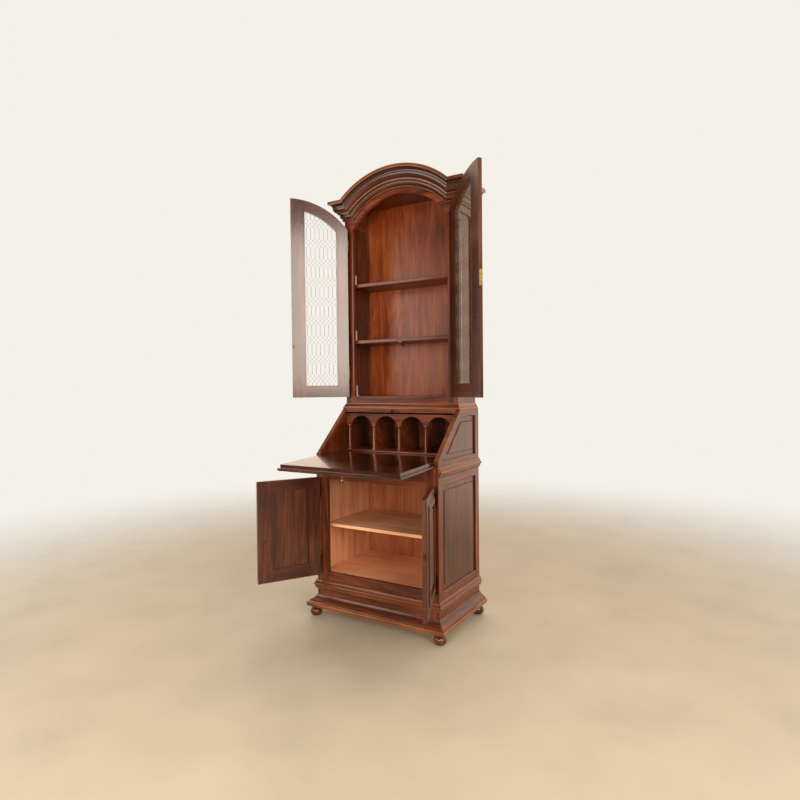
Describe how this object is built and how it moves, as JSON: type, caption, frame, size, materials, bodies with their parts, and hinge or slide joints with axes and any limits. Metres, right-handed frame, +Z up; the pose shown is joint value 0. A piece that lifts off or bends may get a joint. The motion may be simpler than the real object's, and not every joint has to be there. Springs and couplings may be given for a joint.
{
  "type": "secretary desk",
  "caption": "Tall wooden secretary desk: arched bookcase with lattice doors, fall-front writing desk with arcaded gallery, panelled cupboard, on bun feet.",
  "frame": {"origin": "on the floor, under the centre of the case footprint", "axes": "+Z up, the front faces -Y, +X to the right of someone facing the back from the front"},
  "size_m": [1.0004, 0.7095, 2.119],
  "materials": {
    "carcass_walnut": "satin lacquer",
    "moulding_walnut": "satin lacquer, rubbed edges",
    "door_walnut": "satin lacquer",
    "panel_walnut": "satin lacquer",
    "writing_board": "high gloss lacquer",
    "arch_veneer": "satin lacquer",
    "back_panel": "satin",
    "bare_wood": "unfinished",
    "turned_wood": "gloss",
    "foot_wood": "gloss",
    "brass": "aged",
    "lattice_wire": "dull",
    "key_steel": "worn",
    "bracket_paint": "satin"
  },
  "bodies": {
    "case": {"arch_head": "arch_veneer", "base_dust_board": "bare_wood", "base_moulding": "moulding_walnut", "bun_feet": "foot_wood", "cap_moulding": "moulding_walnut", "case_side_panels": "panel_walnut", "case_sides": "carcass_walnut", "corner_brackets": "bracket_paint", "cornice_arch": "moulding_walnut", "cornice_front_returns": "moulding_walnut", "cornice_side_returns": "moulding_walnut", "cupboard_back": "bare_wood", "cupboard_floor": "bare_wood", "cupboard_rails": "carcass_walnut", "cupboard_shelf": "bare_wood", "cupboard_stiles": "carcass_walnut", "desk_floor": "carcass_walnut", "desk_mouldings": "moulding_walnut", "desk_top": "carcass_walnut", "elbow_catch_bracket": "brass", "fall_pivot_pins": "brass", "gallery_arcade": "turned_wood", "gallery_back": "carcass_walnut", "gallery_columns": "turned_wood", "gallery_dividers": "turned_wood", "gallery_platform": "turned_wood", "gallery_roof": "turned_wood", "hinge_frame_leaves": "brass", "hinge_pins": "brass", "hutch_back": "back_panel", "hutch_bottom_rail": "carcass_walnut", "hutch_roof": "carcass_walnut", "hutch_shelves": "carcass_walnut", "hutch_side_panels": "panel_walnut", "hutch_sides": "carcass_walnut", "hutch_stiles": "carcass_walnut", "plinth_front": "carcass_walnut", "shelf_pins": "brass", "sill_moulding": "moulding_walnut"},
    "upper_door_left": {"upper_door_left": "door_walnut", "upper_mesh_left": "lattice_wire", "upper_hinge_leaves_left": "brass"},
    "upper_door_right": {"upper_door_right": "door_walnut", "upper_mesh_right": "lattice_wire", "upper_hinge_leaves_right": "brass", "upper_lock": "brass"},
    "lower_door_left": {"lower_door_left": "door_walnut", "lower_panel_left": "panel_walnut", "lower_hinge_leaves_left": "brass"},
    "lower_door_right": {"lower_door_right": "door_walnut", "lower_panel_right": "panel_walnut", "lower_hinge_leaves_right": "brass", "lower_lock": "brass"},
    "fall_front": {"fall_board": "writing_board", "fall_lip": "writing_board", "fall_pivot_plates": "brass", "fall_lock": "brass"},
    "fall_bolt": {"fall_bolt": "brass"},
    "fall_key": {"fall_key": "key_steel"},
    "elbow_catch": {"elbow_catch_lever": "brass"}
  },
  "joints": [
    {"name": "upper_left_swing", "type": "hinge", "parent": "case", "child": "upper_door_left", "pos_m": [-0.284, 0.009, 1.5], "axis": [0, 0, 1], "range_deg": [-15, 135]},
    {"name": "upper_right_swing", "type": "hinge", "parent": "case", "child": "upper_door_right", "pos_m": [0.284, 0.009, 1.5], "axis": [0, 0, -1], "range_deg": [-9, 141]},
    {"name": "lower_left_swing", "type": "hinge", "parent": "case", "child": "lower_door_left", "pos_m": [-0.3, -0.219, 0.43], "axis": [0, 0, 1], "range_deg": [-29, 121]},
    {"name": "lower_right_swing", "type": "hinge", "parent": "case", "child": "lower_door_right", "pos_m": [0.3, -0.219, 0.43], "axis": [0, 0, -1], "range_deg": [-38, 112]},
    {"name": "fall_tilt", "type": "hinge", "parent": "case", "child": "fall_front", "pos_m": [0, -0.203, 0.76], "axis": [-1, 0, 0], "range_deg": [0, 139.5]},
    {"name": "fall_bolt_throw", "type": "slide", "parent": "fall_front", "child": "fall_bolt", "axis": [0, -0.9986, -0.0523], "range_m": [0, 0.004]},
    {"name": "fall_key_turn", "type": "hinge", "parent": "fall_front", "child": "fall_key", "pos_m": [0, -0.44309, 0.7364], "axis": [0, 0.0523, -0.9986], "range_deg": [0, 90]},
    {"name": "elbow_catch_tip", "type": "hinge", "parent": "case", "child": "elbow_catch", "pos_m": [-0.008, 0.057, 1.292], "axis": [1, 0, 0], "range_deg": [-6, 0]}
  ],
  "couplings": [
    {"joint": "fall_key_turn", "follows": "fall_bolt_throw", "rad_per_m": 392.7}
  ]
}
